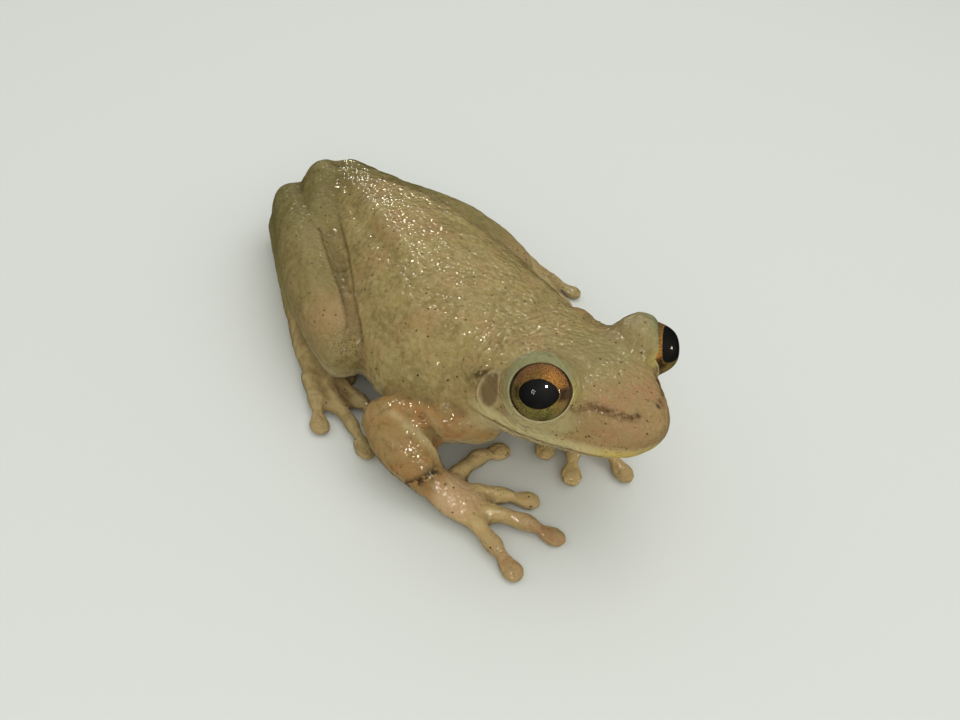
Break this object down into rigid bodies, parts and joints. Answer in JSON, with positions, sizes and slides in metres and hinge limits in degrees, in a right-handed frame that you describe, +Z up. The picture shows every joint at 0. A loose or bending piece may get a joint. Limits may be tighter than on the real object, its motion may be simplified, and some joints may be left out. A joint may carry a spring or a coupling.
{
  "type": "tree frog",
  "caption": "Life-size still model of a crouching tree frog with folded hind legs and round toe discs.",
  "frame": {"origin": "middle of the frog's box, on the floor that its belly and toe discs rest on", "axes": "+X towards the snout, +Y towards the frog's left side, +Z up"},
  "size_m": [0.0528, 0.0384, 0.0174],
  "materials": {
    "skin": "moist, finely granular",
    "throat_skin": "moist, pale and smooth",
    "disc_skin": "moist and smooth",
    "eyeball": "wet and glassy",
    "eardrum_skin": "thin and taut"
  },
  "bodies": {
    "root": {"eardrum_left": "eardrum_skin", "eardrum_right": "eardrum_skin", "eye_left": "eyeball", "eye_right": "eyeball", "finger_left_1": "disc_skin", "finger_left_2": "disc_skin", "finger_left_3": "disc_skin", "finger_left_4": "disc_skin", "finger_right_1": "disc_skin", "finger_right_2": "disc_skin", "finger_right_3": "disc_skin", "finger_right_4": "disc_skin", "foot_left": "skin", "foot_right": "skin", "forearm_left": "skin", "forearm_right": "skin", "head": "skin", "lower_jaw": "throat_skin", "palm_left": "skin", "palm_right": "skin", "shank_left": "skin", "shank_right": "skin", "tarsus_left": "skin", "tarsus_right": "skin", "thigh_left": "skin", "thigh_right": "skin", "toe_left_1": "disc_skin", "toe_left_2": "disc_skin", "toe_left_3": "disc_skin", "toe_left_4": "disc_skin", "toe_left_5": "disc_skin", "toe_right_1": "disc_skin", "toe_right_2": "disc_skin", "toe_right_3": "disc_skin", "toe_right_4": "disc_skin", "toe_right_5": "disc_skin", "trunk": "skin", "upper_arm_left": "skin", "upper_arm_right": "skin"}
  },
  "joints": []
}
